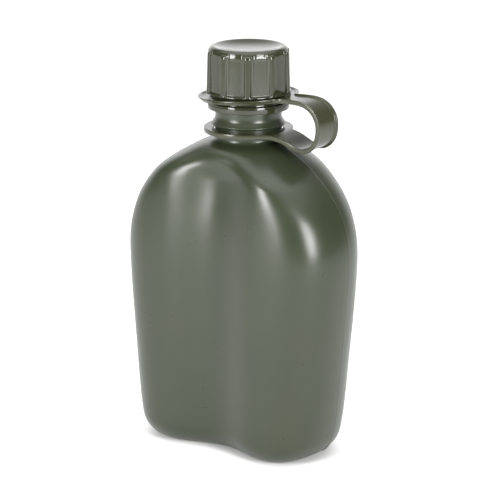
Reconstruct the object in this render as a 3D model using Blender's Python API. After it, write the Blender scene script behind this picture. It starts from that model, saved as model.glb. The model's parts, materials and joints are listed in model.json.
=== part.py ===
"""One-quart field canteen: blow-moulded bottle with a kidney-shaped section,
ribbed screw cap with a sealing gasket, and a one-piece flexible retaining
strap that snaps round the neck and round the cap.

Frame: +Z up, origin on the standing plane under the neck axis.  The concave
face that lies against the hip is towards -Y, the strap is towards +X.
The shapes are drawn in millimetres at a body width of 140 and brought to the
real height, 215 mm over the cap, by one factor as each mesh is written.
"""
import bpy
import bmesh
import math
import numpy as np

for _o in list(bpy.data.objects):
    bpy.data.objects.remove(_o, do_unlink=True)

DRAWN_TO_REAL = 0.945
MM = 0.001 * DRAWN_TO_REAL

# ---------------------------------------------------------------- bottle body
SHOULDER_TOP = 176.6            # height where the shoulder has become the neck
BASE_ROUND = 13.1               # radius between base and side
WALL = 1.8                      # wall of the blow moulding
# half width in X, by height
WIDTH_Z = [0.0, 21.5, 53.6, 89.4, 116.2, 134.1, 150.2, 162.7, 170.0, 172.8, 174.2, 175.4, 176.6]
HALF_WIDTH = [57.0, 61.9, 65.0, 68.4, 70.0, 66.5, 57.3, 44.2, 32.4, 26.8, 22.4, 19.4, 18.6]
# reach of the convex face (+Y) and of the two lobes of the hip face (-Y)
DEPTH_Z = [0.0, 53.6, 107.3, 139.5, 160.9, 170.0, 172.8, 174.2, 175.4, 176.6]
CONVEX = [32.9, 37.5, 39.8, 38.8, 34.2, 28.2, 24.6, 21.5, 19.2, 18.6]
LOBES = [38.3, 38.7, 38.4, 36.4, 33.2, 27.8, 24.4, 21.4, 19.2, 18.6]
# depth of the hollow between the lobes
HOLLOW_Z = [0.0, 14.3, 53.6, 125.2, 152.0, 164.0, 172.0, 176.6]
HOLLOW = [7.2, 6.8, 6.5, 6.5, 7.6, 5.6, 1.4, 0.0]
# how far the widest line lies behind the neck axis
DROP_Z = [0.0, 107.3, 139.5, 160.9, 176.6]
END_DROP = [5.4, 5.0, 3.3, 1.6, 0.0]
# lobe distance from the middle, as part of the half width
PLACE_Z = [0.0, 20.0, 54.0, 107.0, 134.0, 150.0, 162.7, 176.6]
LOBE_PLACE = [0.56, 0.545, 0.505, 0.465, 0.485, 0.55, 0.63, 0.66]
# fullness of the lobe's outer flank, sideways and fore-and-aft
FLANK_Z = [0.0, 20.0, 54.0, 107.0, 134.0, 150.0, 176.6]
FLANK_X = [0.62, 0.53, 0.47, 0.43, 0.42, 0.42, 0.55]
FLANK_Y = [0.66, 0.74, 0.85, 0.93, 0.91, 0.84, 0.60]
HANDLES = (0.66, 0.59, 0.38)   # fullness of the section's curves
OVAL_FROM, OVAL_TO = 156.0, 175.5          # heights over which the hollow fades out
RING_POINTS = 56

# ----------------------------------------------------------------------- neck
NECK_R = 18.6                   # groove that the strap's ring turns in
NECK_BEAD_R = 20.6              # bead that keeps the ring down
NECK_BEAD_LOW = 183.4
NECK_BEAD_TOP = 184.7
NECK_BEAD_CONE = 187.5
COLLAR_R = 18.5
COLLAR_TOP = 192.4
FINISH_R = 15.6                 # root of the bottle's screw thread
BORE_R = 13.4
RIM_Z = 221.0

# --------------------------------------------------------------------- thread
PITCH = 6.35
THREAD_Z0 = 203.5
BOTTLE_THREAD = dict(r_in=15.1, r_out=17.2, foot=2.5, crest=1.2, start=0.0, turns=1.65)
CAP_THREAD = dict(r_in=18.1, r_out=16.1, foot=2.4, crest=1.2, start=0.15, turns=1.45)

# ------------------------------------------------------------------------ cap
CAP_BOTTOM = 192.8
CAP_INNER_R = 17.7
CAP_CEILING = 223.3
CAP_CREST_R = 19.2
CAP_CREST_Z = 227.6
CAP_DISH_Z = 225.5
CAP_RIBS = 10
RIB_R_LOW, RIB_R_HIGH = 24.1, 23.5
PANEL_R_LOW, PANEL_R_HIGH = 22.5, 22.05
GASKET_R = 16.8
GASKET_Z = (221.3, 222.95)

# ---------------------------------------------------------------------- strap
STRAP_WIDTH = 18.4
STRAP_EDGE = 2.6                # thickness over the raised rims
STRAP_WEB = 1.6                 # thickness between the rims
STRAP_RIM = 1.7                 # width of each rim
NECK_RING = dict(hole=19.2, outer=24.9)
CAP_RING = dict(hole=21.2, outer=28.2)
CAP_RING_TILT = 0.055           # the band pulls that ring up a little on its own side
SLIDE_SLANT = 0.3149            # run over rise of the strap's stand-in slides
TONGUE_END = 34.15              # reach of both tongues from the neck axis
BAND_START = 34.5
# middle line of the strap, reach from the axis and height
ROUTE = [(20.9, 181.2), (24.0, 180.9), (30.0, 178.9), (37.0, 175.9), (41.8, 174.9),
         (47.0, 176.0), (51.4, 180.0), (53.4, 186.0), (52.8, 192.5), (49.5, 197.6),
         (44.2, 200.6), (38.0, 201.45), (30.0, 201.2), (26.0, 201.03), (21.9, 200.8)]


# ------------------------------------------------------------------ utilities
def monotone(xs, ys):
    """Monotone cubic through a table, for profiles without overshoot."""
    xs, ys = np.array(xs, float), np.array(ys, float)
    h, d = np.diff(xs), np.diff(ys) / np.diff(xs)
    m = np.zeros(len(xs))
    for i in range(1, len(xs) - 1):
        if d[i - 1] * d[i] > 0:
            w1, w2 = 2 * h[i] + h[i - 1], h[i] + 2 * h[i - 1]
            m[i] = (w1 + w2) / (w1 / d[i - 1] + w2 / d[i])
    m[0], m[-1] = d[0], d[-1]

    def f(x):
        i = int(np.clip(np.searchsorted(xs, x) - 1, 0, len(xs) - 2))
        t = (x - xs[i]) / h[i]
        a, b = ys[i], ys[i + 1]
        return ((1 + 2 * t) * (1 - t) ** 2 * a + t * (1 - t) ** 2 * h[i] * m[i]
                + t * t * (3 - 2 * t) * b + t * t * (t - 1) * h[i] * m[i + 1])
    return f


def bezier(p0, p1, p2, p3, n):
    t = np.linspace(0, 1, n, endpoint=False)[:, None]
    return ((1 - t) ** 3 * p0 + 3 * t * (1 - t) ** 2 * p1
            + 3 * t * t * (1 - t) * p2 + t ** 3 * p3)


def faired(xs, ys, sigma=5.0):
    """Profile through a table, with its curvature evened out below the neck's fillet."""
    raw = monotone(xs, ys)
    zs = np.linspace(xs[0], xs[-1], 900)
    v = np.array([raw(z) for z in zs])
    step = zs[1] - zs[0]
    n = int(3.5 * sigma / step)
    g = np.exp(-0.5 * (np.arange(-n, n + 1) * step / sigma) ** 2)
    g /= g.sum()
    pad = np.concatenate([2 * v[0] - v[1:n + 1][::-1], v, 2 * v[-1] - v[-n - 1:-1][::-1]])
    soft = np.convolve(pad, g, 'valid')

    def f(z):
        w = min(1.0, max(0.0, (z - 152.0) / 14.0))
        w = w * w * (3 - 2 * w)
        return (1 - w) * float(np.interp(z, zs, soft)) + w * raw(z)
    return f


half_width = faired(WIDTH_Z, HALF_WIDTH)
convex = faired(DEPTH_Z, CONVEX)
lobes = faired(DEPTH_Z, LOBES)
hollow = faired(HOLLOW_Z, HOLLOW)
end_drop = faired(DROP_Z, END_DROP)
lobe_place = faired(PLACE_Z, LOBE_PLACE)
flank_x = faired(FLANK_Z, FLANK_X)
flank_y = faired(FLANK_Z, FLANK_Y)


def inset_line(line, d):
    """Offset an open half outline inwards; its ends stay on X = 0."""
    full = np.concatenate([line[1:2] * [-1, 1], line, line[-2:-1] * [-1, 1]])
    t = full[2:] - full[:-2]
    t /= np.linalg.norm(t, axis=1)[:, None] + 1e-12
    n = np.column_stack([t[:, 1], -t[:, 0]])
    out = line + n * d
    out[0, 0] = out[-1, 0] = 0.0
    return out


def half_section(z, inset=0.0):
    """Right half of the body's outline at height z, front middle to back middle."""
    a, yf, yl, c = half_width(z), convex(z), lobes(z), hollow(z)
    (hfx, hfy, hv), hbx, hby = HANDLES, flank_x(z), flank_y(z)
    ye, xl = -end_drop(z), a * lobe_place(z)
    F, E = np.array([0.0, yf]), np.array([a, ye])
    L, V = np.array([xl, -yl]), np.array([0.0, -(yl - c)])
    n = 60
    line = np.concatenate([
        bezier(F, F + [hfx * a, 0], E + [0, hfy * (yf - ye)], E, n),
        bezier(E, E - [0, hby * (ye + yl)], L + [hbx * (a - xl), 0], L, n),
        bezier(L, L - [hv * xl, 0], V + [hv * xl, 0], V, n), [V]])
    # towards the neck the outline turns into a plain oval, then a circle
    w = float(np.clip((z - OVAL_FROM) / (OVAL_TO - OVAL_FROM), 0, 1))
    w = w * w * (3 - 2 * w)
    if w > 0:
        r = np.hypot(line[:, 0], line[:, 1])
        ca, sa = line[:, 0] / r, line[:, 1] / r
        b = np.where(sa >= 0, yf, yl)
        oval = 1 / np.sqrt((ca / a) ** 2 + (sa / b) ** 2)
        r = (1 - w) * r + w * oval
        line = np.column_stack([r * ca, r * sa])
        line[0, 0] = line[-1, 0] = 0.0
    if inset:
        line = inset_line(line, inset)
    return line


def body_ring(z, inset=0.0, at=None):
    """Closed outline with RING_POINTS points, closer together where it bends."""
    line = half_section(z, inset)
    seg = np.linalg.norm(np.diff(line, axis=0), axis=1)
    ang = np.unwrap(np.arctan2(np.diff(line[:, 1]), np.diff(line[:, 0])))
    turn = np.abs(np.gradient(ang)) if len(ang) > 2 else np.zeros(len(seg))
    weight = seg / seg.sum() + 0.35 * turn / (turn.sum() + 1e-9)
    s = np.concatenate([[0], np.cumsum(weight)])
    s /= s[-1]
    u = np.linspace(0, 1, RING_POINTS // 2 + 1)
    half = np.column_stack([np.interp(u, s, line[:, 0]), np.interp(u, s, line[:, 1])])
    # one point on the widest place, with the parting line's 0.08 mm, and one on the lobe
    half[np.argmax(half[:, 0])] = line[np.argmax(line[:, 0])] + [0.0 if inset else 0.08, 0.0]
    half[1 + np.argmin(half[1:-1, 1])] = line[1 + np.argmin(line[1:-1, 1])]
    ring = np.concatenate([half, half[::-1][1:-1] * [-1, 1]])
    return np.column_stack([ring, np.full(len(ring), z if at is None else at)])


def round_ring(r, z, n=RING_POINTS):
    a = math.pi / 2 - np.arange(n) * 2 * math.pi / n
    return np.column_stack([r * np.cos(a), r * np.sin(a), np.full(n, z)])


def add_object(name, bm, origin=(0, 0, 0), sharp=35.0):
    bmesh.ops.recalc_face_normals(bm, faces=bm.faces)
    me = bpy.data.meshes.new(name)
    bm.to_mesh(me)
    bm.free()
    ob = bpy.data.objects.new(name, me)
    bpy.context.scene.collection.objects.link(ob)
    ob.location = [c * MM for c in origin]
    me.shade_smooth()
    me.set_sharp_from_angle(angle=math.radians(sharp))
    return ob


def loft(name, rings, origin=(0, 0, 0), start=None, end=None, sharp=35.0):
    """Skin a stack of closed rings; start and end are the poles of its two ends."""
    bm = bmesh.new()
    org = np.array(origin, float)
    rows = [[bm.verts.new(((p - org) * MM)) for p in ring] for ring in rings]
    n = len(rows[0])
    for a, b in zip(rows[:-1], rows[1:]):
        for i in range(n):
            j = (i + 1) % n
            bm.faces.new((a[i], a[j], b[j], b[i]))
    for row, pole in ((rows[0], start), (rows[-1], end)):
        if pole is None:
            bm.faces.new(row)
        else:
            c = bm.verts.new((np.array(pole, float) - org) * MM)
            for i in range(n):
                bm.faces.new((row[i], row[(i + 1) % n], c))
    return add_object(name, bm, origin, sharp)


def material(ob, name, colour, roughness):
    m = bpy.data.materials.new(name)
    m.use_nodes = True
    b = m.node_tree.nodes["Principled BSDF"]
    b.inputs["Base Color"].default_value = (*colour, 1)
    b.inputs["Roughness"].default_value = roughness
    b.inputs["Metallic"].default_value = 0.0
    ob.data.materials.append(m)


def boolean(ob, tool, operation):
    tool.hide_render = True
    tool.display_type = 'WIRE'
    m = ob.modifiers.new(operation.lower(), 'BOOLEAN')
    m.operation = operation
    m.solver = 'EXACT'
    m.object = tool


def thread_ridge(name, r_in, r_out, foot, crest, start, turns, z0, origin=(0, 0, 0)):
    """Trapezoidal ridge along a right-hand helix, run out to nothing at both ends."""
    steps = int(turns * 28)
    rings = []
    for k in range(steps + 1):
        f = k / steps
        turn = start + turns * f
        a = 2 * math.pi * turn
        z = z0 + PITCH * turn
        grow = min(1.0, min(f, 1 - f) * turns * 9 + 0.02)
        tip = r_in + (r_out - r_in) * (0.30 + 0.70 * grow)
        half_foot = foot / 2 * (0.55 + 0.45 * grow)
        half_crest = crest / 2 * (0.55 + 0.45 * grow)
        rings.append(np.array([[r * math.cos(a), r * math.sin(a), z + dz] for r, dz in
                               ((r_in, -half_foot), (tip, -half_crest),
                                (tip, half_crest), (r_in, half_foot))]))
    return loft(name, rings, origin)


# --------------------------------------------------------------------- bottle
def make_bottle():
    rings = []
    for k in range(5):
        a = math.radians(90 * k / 4)
        z = BASE_ROUND * (1 - math.cos(a))
        rings.append(body_ring(z, BASE_ROUND * (1 - math.sin(a))))
    outer_z = [24, 40, 58, 76, 92, 104, 112, 118, 128, 137, 145, 152, 158, 163.5, 168,
               170.8, 172.8, 174.2, 175.4]
    rings += [body_ring(z) for z in outer_z]
    rings += [round_ring(NECK_R, SHOULDER_TOP), round_ring(NECK_R, NECK_BEAD_LOW),
              round_ring(NECK_BEAD_R - 0.2, NECK_BEAD_TOP - 0.3),
              round_ring(NECK_BEAD_R, NECK_BEAD_TOP),
              round_ring(NECK_BEAD_R - 0.2, NECK_BEAD_TOP + 0.4),
              round_ring(COLLAR_R, NECK_BEAD_CONE),
              round_ring(COLLAR_R, COLLAR_TOP - 0.4), round_ring(COLLAR_R - 0.4, COLLAR_TOP),
              round_ring(FINISH_R + 0.3, COLLAR_TOP), round_ring(FINISH_R, COLLAR_TOP + 0.4),
              round_ring(FINISH_R, 205.5),
              round_ring(FINISH_R, RIM_Z - 0.7), round_ring(FINISH_R - 0.7, RIM_Z),
              round_ring(BORE_R + 0.5, RIM_Z), round_ring(BORE_R, RIM_Z - 0.5),
              round_ring(BORE_R, 206.0), round_ring(BORE_R, 192.0),
              round_ring(16.5, 186.0), round_ring(16.6, 177.5), round_ring(16.9, 175.3),
              round_ring(18.2, 173.9)]
    for z in [171.6, 169.0, 165.0, 159.5, 152.0, 143.0, 132.0, 118.0, 98.0, 76.0, 52.0, 30.0]:
        slope = (half_width(z + 0.5) - half_width(z - 0.5))
        rings.append(body_ring(z, WALL * math.sqrt(1 + slope * slope)))
    r_in = BASE_ROUND - WALL
    for k in range(4):
        a = math.radians(90 * (3 - k) / 3)
        rings.append(body_ring(BASE_ROUND - r_in * math.cos(a),
                               WALL + r_in * (1 - math.sin(a))))
    ob = loft("bottle", rings, start=(0, 0, 0), end=(0, 0, WALL))
    ridge = thread_ridge("bottle_thread_form", z0=THREAD_Z0, **BOTTLE_THREAD)
    boolean(ob, ridge, 'UNION')
    material(ob, "bottle_olive", (0.121, 0.143, 0.100), 0.34)
    return ob


# ------------------------------------------------------------------------ cap
def cap_angles():
    """Eight directions for each rib: its crown and flanks, then the panel."""
    step = 2 * math.pi / CAP_RIBS
    out = []
    for k in range(CAP_RIBS):
        mid = math.radians(18) + k * step
        for d in (-5.8, -4.6, -2.5, 0.0, 2.5, 4.6, 5.8, 18.0):
            out.append((mid + math.radians(d), max(0.0, 1 - (abs(d) / 5.8) ** 2.2)))
    return out


def cap_ring(z, r, r_rib=None):
    pts = []
    for a, rise in cap_angles():
        rr = r if r_rib is None else r + (r_rib - r) * rise
        pts.append([rr * math.cos(a), rr * math.sin(a), z])
    return np.array(pts)


def make_cap():
    org = (0, 0, CAP_BOTTOM)
    rings = [cap_ring(CAP_DISH_Z + 0.2, 7.0), cap_ring(CAP_DISH_Z + 0.85, 13.0),
             cap_ring(CAP_CREST_Z - 0.4, 17.2), cap_ring(CAP_CREST_Z, CAP_CREST_R),
             cap_ring(CAP_CREST_Z - 0.43, 20.8), cap_ring(226.3, 21.7),
             cap_ring(225.9, 21.6, 22.1), cap_ring(224.4, 21.95, 22.8),
             cap_ring(222.6, PANEL_R_HIGH, RIB_R_HIGH),
             cap_ring(203.0, PANEL_R_LOW, RIB_R_LOW), cap_ring(202.2, 23.6, 24.1),
             cap_ring(201.7, 23.5), cap_ring(201.4, 20.5), cap_ring(196.8, 20.5),
             cap_ring(196.5, 22.2), cap_ring(195.5, 22.3), cap_ring(195.1, 22.75),
             cap_ring(193.1, 22.75), cap_ring(CAP_BOTTOM, 22.4),
             cap_ring(CAP_BOTTOM, CAP_INNER_R + 0.2), cap_ring(CAP_BOTTOM + 0.5, CAP_INNER_R),
             cap_ring(207.0, CAP_INNER_R), cap_ring(CAP_CEILING - 0.6, CAP_INNER_R),
             cap_ring(CAP_CEILING, CAP_INNER_R - 0.6)]
    ob = loft("screw_cap", rings, org, start=(0, 0, CAP_DISH_Z), end=(0, 0, CAP_CEILING),
              sharp=30)
    ridge = thread_ridge("cap_thread_form", z0=THREAD_Z0 - PITCH / 2, origin=org, **CAP_THREAD)
    boolean(ob, ridge, 'UNION')
    material(ob, "cap_olive", (0.118, 0.124, 0.074), 0.18)
    return ob


def make_gasket():
    z0, z1 = GASKET_Z
    n, r = 40, GASKET_R
    rings = [round_ring(r - 0.3, z0, n), round_ring(r, z0 + 0.3, n),
             round_ring(r, z1 - 0.3, n), round_ring(r - 0.3, z1, n)]
    ob = loft("cap_gasket", rings, (0, 0, z0), start=(0, 0, z0), end=(0, 0, z1))
    material(ob, "gasket_rubber", (0.035, 0.035, 0.035), 0.7)
    return ob


# ---------------------------------------------------------------------- strap
def route_points(step=0.25):
    """Smooth line through the strap's route (centripetal Catmull-Rom)."""
    p = np.array(ROUTE, float)
    p = np.vstack([2 * p[0] - p[1], p, 2 * p[-1] - p[-2]])
    out = []
    for i in range(1, len(p) - 2):
        a, b, c, d = p[i - 1:i + 3]
        t0 = 0.0
        t1 = t0 + np.linalg.norm(b - a) ** 0.5
        t2 = t1 + np.linalg.norm(c - b) ** 0.5
        t3 = t2 + np.linalg.norm(d - c) ** 0.5
        for t in np.linspace(t1, t2, max(2, int(np.linalg.norm(c - b) / step)), endpoint=False):
            A1 = (t1 - t) / (t1 - t0) * a + (t - t0) / (t1 - t0) * b
            A2 = (t2 - t) / (t2 - t1) * b + (t - t1) / (t2 - t1) * c
            A3 = (t3 - t) / (t3 - t2) * c + (t - t2) / (t3 - t2) * d
            B1 = (t2 - t) / (t2 - t0) * A1 + (t - t0) / (t2 - t0) * A2
            B2 = (t3 - t) / (t3 - t1) * A2 + (t - t1) / (t3 - t1) * A3
            out.append((t2 - t) / (t2 - t1) * B1 + (t - t1) / (t2 - t1) * B2)
    out.append(p[-2])
    return np.array(out)


def channel(name, line, widths, origin, slanted=(True, True)):
    """Sweep the strap's channel section along a line in the XZ plane.

    A slanted end lies along the slide that stands in for the strap's bending, so
    that the two faces of a joint pass each other with the same gap all the way.
    """
    t = np.gradient(line, axis=0)
    t /= np.linalg.norm(t, axis=1)[:, None]
    nrm = np.column_stack([t[:, 1], -t[:, 0]])              # outer side of the bend
    for k, slant in ((0, slanted[0]), (-1, slanted[1])):
        nrm[k] = (SLIDE_SLANT if slant else 0.0, -np.sign(t[k, 0]))
    rings = []
    for (x, z), (nx, nz), (wn, wp) in zip(line, nrm, widths):
        lo, hi = -STRAP_EDGE / 2, STRAP_EDGE / 2
        web = lo + STRAP_WEB
        prof = [(-wn, lo), (wp, lo), (wp, hi), (wp - STRAP_RIM, hi), (wp - STRAP_RIM - 0.4, web),
                (-wn + STRAP_RIM + 0.4, web), (-wn + STRAP_RIM, hi), (-wn, hi)]
        rings.append(np.array([[x + nx * o, y, z + nz * o] for y, o in prof]))
    return loft(name, rings, origin)


def make_strap():
    line = route_points()
    top = int(np.argmax(line[:, 0]))
    half = STRAP_WIDTH / 2
    colour, rough = (0.118, 0.124, 0.074), 0.24
    org = (0, 0, 180.8)

    def cut(points, start, stop, near=0.3, far=0.3):
        """Part of the route between two reaches, ending exactly on them.

        near and far keep the next point away from an end, so that a slanted end
        doesn't cross the section before it.
        """
        order = np.argsort(points[:, 0])
        zs = np.interp([start, stop], points[order, 0], points[order, 1])
        mid = points[(points[:, 0] > start + near) & (points[:, 0] < stop - far)]
        a, b = np.array([start, zs[0]]), np.array([stop, zs[1]])
        if points[0, 0] > points[-1, 0]:
            a, b = b, a
        return np.vstack([a, mid, b])

    def thin(points, every):
        keep = list(range(0, len(points) - 1, every)) + [len(points) - 1]
        return points[keep]

    lower, upper = line[:top + 1], line[top:]

    # ring round the neck, rim hanging down, with its tongue
    h, o = NECK_RING["hole"], NECK_RING["outer"]
    prof = [(h, 180.5), (h, 182.0), (o - 0.5, 182.0), (o, 181.5), (o, 179.5),
            (o - 1.5, 179.5), (o - 1.7, 180.5)]
    ring = turned("strap_neck_ring", prof, org)
    tl = thin(cut(lower, 21.4, TONGUE_END, far=1.5), 5)
    flare = np.clip((TONGUE_END - tl[:, 0]) / 12.0, 0, 1)
    tongue = channel("neck_tongue_form", tl, [(half + 5.6 * f ** 1.3, half + 1.5 * f ** 2)
                                              for f in flare], org, (False, True))
    boolean(ring, tongue, 'UNION')
    material(ring, "strap_neck_ring", colour, rough)

    # ring round the cap, rim standing up, with its tongue
    h, o = CAP_RING["hole"], CAP_RING["outer"]
    prof = [(h, 198.3), (h, 199.8), (o - 2.0, 199.8), (o - 1.5, 200.65), (o, 200.65),
            (o, 199.5), (o - 1.9, 198.3)]
    ring = turned("strap_cap_ring", prof, org, tilt=CAP_RING_TILT)
    gap = box_form("rim_gap_form", (o - 2.9, -half + STRAP_RIM + 0.4, 201.45),
                   (o + 3.0, half - STRAP_RIM - 0.4, 204.5), org)
    boolean(ring, gap, 'DIFFERENCE')
    tu = thin(cut(upper, 22.6, TONGUE_END, far=1.5), 5)
    flare = np.clip((TONGUE_END - tu[:, 0]) / 10.0, 0, 1)
    tongue = channel("cap_tongue_form", tu, [(half + 2.5 * f ** 2, half + 1.2 * f ** 2)
                                             for f in flare], org, (True, False))
    boolean(ring, tongue, 'UNION')
    material(ring, "strap_cap_ring", colour, rough)

    # the band's bend between the two tongues
    lo = cut(lower, BAND_START, line[top, 0] + 1, near=1.5)[:-1]
    up = cut(upper, BAND_START, line[top, 0] + 1, near=1.5)[1:]
    bl = thin(np.vstack([lo, up]), 6)
    band = channel("strap_band", bl, [(half, half)] * len(bl), org)
    material(band, "strap_band", colour, rough)


def turned(name, prof, origin, n=48, tilt=0.0):
    """Closed ring of a profile in (radius, height) turned about the neck axis."""
    bm = bmesh.new()
    org = np.array(origin, float)
    rows = []
    for k in range(n):
        a = 2 * math.pi * (k + 0.5) / n
        c, s = math.cos(a), math.sin(a)
        rows.append([bm.verts.new((np.array([r * c, r * s, z + tilt * r * c]) - org) * MM)
                     for r, z in prof])
    m = len(prof)
    for k in range(n):
        a, b = rows[k], rows[(k + 1) % n]
        for i in range(m):
            j = (i + 1) % m
            bm.faces.new((a[i], a[j], b[j], b[i]))
    return add_object(name, bm, origin)


def box_form(name, lo, hi, origin):
    bm = bmesh.new()
    bmesh.ops.create_cube(bm, size=1.0)
    lo, hi, org = np.array(lo, float), np.array(hi, float), np.array(origin, float)
    for v in bm.verts:
        v.co = [((lo + hi) / 2 - org)[i] * MM + v.co[i] * (hi - lo)[i] * MM for i in range(3)]
    return add_object(name, bm, origin)


make_bottle()
make_cap()
make_gasket()
make_strap()
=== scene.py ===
"""Looks of the one-quart field canteen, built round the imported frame.

Lengths in the helpers are millimetres at a body width of 140; one factor brings
them to the real size as each mesh is written in metres.
"""

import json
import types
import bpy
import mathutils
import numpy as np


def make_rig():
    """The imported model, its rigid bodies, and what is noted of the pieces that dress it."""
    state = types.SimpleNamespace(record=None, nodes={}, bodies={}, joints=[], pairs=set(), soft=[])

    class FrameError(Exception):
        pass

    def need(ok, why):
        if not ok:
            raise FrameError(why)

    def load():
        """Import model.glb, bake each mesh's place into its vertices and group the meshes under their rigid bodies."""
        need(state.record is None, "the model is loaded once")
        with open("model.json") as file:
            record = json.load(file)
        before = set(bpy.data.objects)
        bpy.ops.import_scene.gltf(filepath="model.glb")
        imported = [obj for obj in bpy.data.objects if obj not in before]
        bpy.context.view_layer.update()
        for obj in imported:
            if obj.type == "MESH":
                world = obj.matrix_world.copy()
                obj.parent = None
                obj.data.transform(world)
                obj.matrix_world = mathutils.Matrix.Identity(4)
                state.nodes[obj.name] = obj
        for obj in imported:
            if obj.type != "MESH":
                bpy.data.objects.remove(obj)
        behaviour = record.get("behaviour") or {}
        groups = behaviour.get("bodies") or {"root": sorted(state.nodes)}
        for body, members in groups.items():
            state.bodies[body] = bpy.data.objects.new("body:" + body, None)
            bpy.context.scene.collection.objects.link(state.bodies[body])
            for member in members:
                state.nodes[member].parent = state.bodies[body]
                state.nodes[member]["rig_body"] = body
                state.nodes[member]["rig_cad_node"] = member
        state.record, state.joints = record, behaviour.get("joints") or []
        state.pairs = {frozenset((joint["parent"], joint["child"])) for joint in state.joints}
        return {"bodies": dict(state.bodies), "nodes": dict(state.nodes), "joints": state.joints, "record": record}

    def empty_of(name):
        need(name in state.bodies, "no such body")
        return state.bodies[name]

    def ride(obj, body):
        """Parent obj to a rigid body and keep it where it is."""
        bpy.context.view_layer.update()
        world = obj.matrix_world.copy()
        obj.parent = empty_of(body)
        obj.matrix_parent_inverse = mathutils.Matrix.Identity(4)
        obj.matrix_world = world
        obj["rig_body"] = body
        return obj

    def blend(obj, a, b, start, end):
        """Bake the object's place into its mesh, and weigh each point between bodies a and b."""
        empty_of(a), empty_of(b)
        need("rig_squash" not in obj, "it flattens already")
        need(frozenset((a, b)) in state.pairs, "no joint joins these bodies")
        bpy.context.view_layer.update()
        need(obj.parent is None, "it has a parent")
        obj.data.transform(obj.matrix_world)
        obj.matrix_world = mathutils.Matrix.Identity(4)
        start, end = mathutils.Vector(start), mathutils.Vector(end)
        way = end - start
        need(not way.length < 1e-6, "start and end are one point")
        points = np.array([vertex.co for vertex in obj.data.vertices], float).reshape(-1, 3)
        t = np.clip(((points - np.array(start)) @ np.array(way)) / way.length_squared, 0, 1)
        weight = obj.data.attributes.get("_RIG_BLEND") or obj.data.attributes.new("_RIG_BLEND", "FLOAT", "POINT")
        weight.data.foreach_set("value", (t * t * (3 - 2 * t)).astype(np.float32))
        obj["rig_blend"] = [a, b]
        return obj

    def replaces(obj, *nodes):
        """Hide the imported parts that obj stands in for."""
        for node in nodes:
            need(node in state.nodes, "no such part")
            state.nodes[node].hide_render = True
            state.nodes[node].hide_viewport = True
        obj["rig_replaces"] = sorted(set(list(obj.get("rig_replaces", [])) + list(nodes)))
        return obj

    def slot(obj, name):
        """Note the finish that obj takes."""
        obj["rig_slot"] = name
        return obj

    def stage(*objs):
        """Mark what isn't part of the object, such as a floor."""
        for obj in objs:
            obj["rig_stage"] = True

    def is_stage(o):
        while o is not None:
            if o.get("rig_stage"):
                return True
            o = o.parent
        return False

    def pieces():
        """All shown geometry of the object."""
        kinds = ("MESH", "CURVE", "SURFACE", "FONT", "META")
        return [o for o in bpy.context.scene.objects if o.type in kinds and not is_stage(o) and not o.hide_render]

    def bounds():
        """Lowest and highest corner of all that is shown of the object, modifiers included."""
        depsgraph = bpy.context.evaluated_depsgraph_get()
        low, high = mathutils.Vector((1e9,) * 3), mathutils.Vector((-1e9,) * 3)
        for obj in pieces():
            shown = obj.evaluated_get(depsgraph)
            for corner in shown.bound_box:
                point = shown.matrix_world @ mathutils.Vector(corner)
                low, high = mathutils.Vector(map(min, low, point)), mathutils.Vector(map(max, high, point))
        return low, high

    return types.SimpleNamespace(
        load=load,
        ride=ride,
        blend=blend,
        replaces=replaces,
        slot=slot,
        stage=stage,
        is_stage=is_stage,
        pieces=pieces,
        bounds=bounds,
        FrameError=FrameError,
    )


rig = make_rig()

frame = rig.load()

import bpy
import bmesh
import json
import math
import numpy as np
from mathutils import Vector
from mathutils.geometry import delaunay_2d_cdt

CAD_BOX = [list(map(float, v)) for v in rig.bounds()]
MM = 0.001 * 0.945
scene = bpy.context.scene


# =============================================================== shape rules
def monotone(xs, ys):
    xs, ys = np.array(xs, float), np.array(ys, float)
    h, d = np.diff(xs), np.diff(ys) / np.diff(xs)
    m = np.zeros(len(xs))
    for i in range(1, len(xs) - 1):
        if d[i - 1] * d[i] > 0:
            w1, w2 = 2 * h[i] + h[i - 1], h[i] + 2 * h[i - 1]
            m[i] = (w1 + w2) / (w1 / d[i - 1] + w2 / d[i])
    m[0], m[-1] = d[0], d[-1]

    def f(x):
        i = int(np.clip(np.searchsorted(xs, x) - 1, 0, len(xs) - 2))
        t = (x - xs[i]) / h[i]
        a, b = ys[i], ys[i + 1]
        return ((1 + 2 * t) * (1 - t) ** 2 * a + t * (1 - t) ** 2 * h[i] * m[i]
                + t * t * (3 - 2 * t) * b + t * t * (t - 1) * h[i] * m[i + 1])
    return f


def faired(xs, ys, sigma=5.0):
    """Profile through a table, with its curvature evened out below the neck's fillet."""
    raw = monotone(xs, ys)
    zs = np.linspace(xs[0], xs[-1], 900)
    v = np.array([raw(z) for z in zs])
    step = zs[1] - zs[0]
    n = int(3.5 * sigma / step)
    g = np.exp(-0.5 * (np.arange(-n, n + 1) * step / sigma) ** 2)
    g /= g.sum()
    pad = np.concatenate([2 * v[0] - v[1:n + 1][::-1], v, 2 * v[-1] - v[-n - 1:-1][::-1]])
    soft = np.convolve(pad, g, 'valid')

    def f(z):
        w = min(1.0, max(0.0, (z - 152.0) / 14.0))
        w = w * w * (3 - 2 * w)
        return (1 - w) * float(np.interp(z, zs, soft)) + w * raw(z)
    return f


def smooth01(t):
    t = np.clip(t, 0, 1)
    return t * t * (3 - 2 * t)


def bezier(p0, p1, p2, p3, n):
    t = np.linspace(0, 1, n, endpoint=False)[:, None]
    return ((1 - t) ** 3 * p0 + 3 * t * (1 - t) ** 2 * p1
            + 3 * t * t * (1 - t) * p2 + t ** 3 * p3)


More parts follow.
